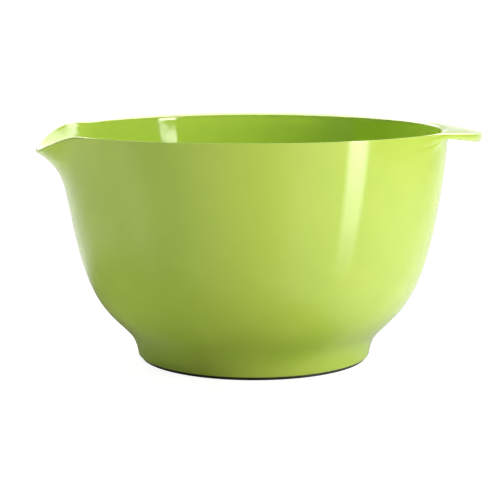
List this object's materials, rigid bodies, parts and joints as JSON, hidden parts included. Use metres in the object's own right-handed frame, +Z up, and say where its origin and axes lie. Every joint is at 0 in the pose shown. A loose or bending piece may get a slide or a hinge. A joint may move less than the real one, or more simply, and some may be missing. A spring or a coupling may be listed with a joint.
{
  "type": "mixing bowl",
  "caption": "Deep round mixing bowl with a pouring lip, a thumb handle opposite it, a turned-in foot and a removable rubber ring under the foot.",
  "frame": {"origin": "centre of the rubber ring's underside, on the surface that the bowl stands on and on the axis of the round body", "axes": "+Z up along the axis of the body, +X towards the thumb handle, -X towards the pouring lip"},
  "size_m": [0.2795, 0.24, 0.1445],
  "materials": {
    "melamine": "hard moulded melamine in lime green, coloured right through, polished all over",
    "rubber": "dark semi-gloss moulded rubber"
  },
  "bodies": {
    "base_ring": {"base_ring": "rubber"},
    "bowl": {"bowl": "melamine"}
  },
  "joints": [
    {"name": "ring_pull_off", "type": "slide", "parent": "base_ring", "child": "bowl", "axis": [0, 0, 1], "range_m": [0, 0.02]}
  ]
}
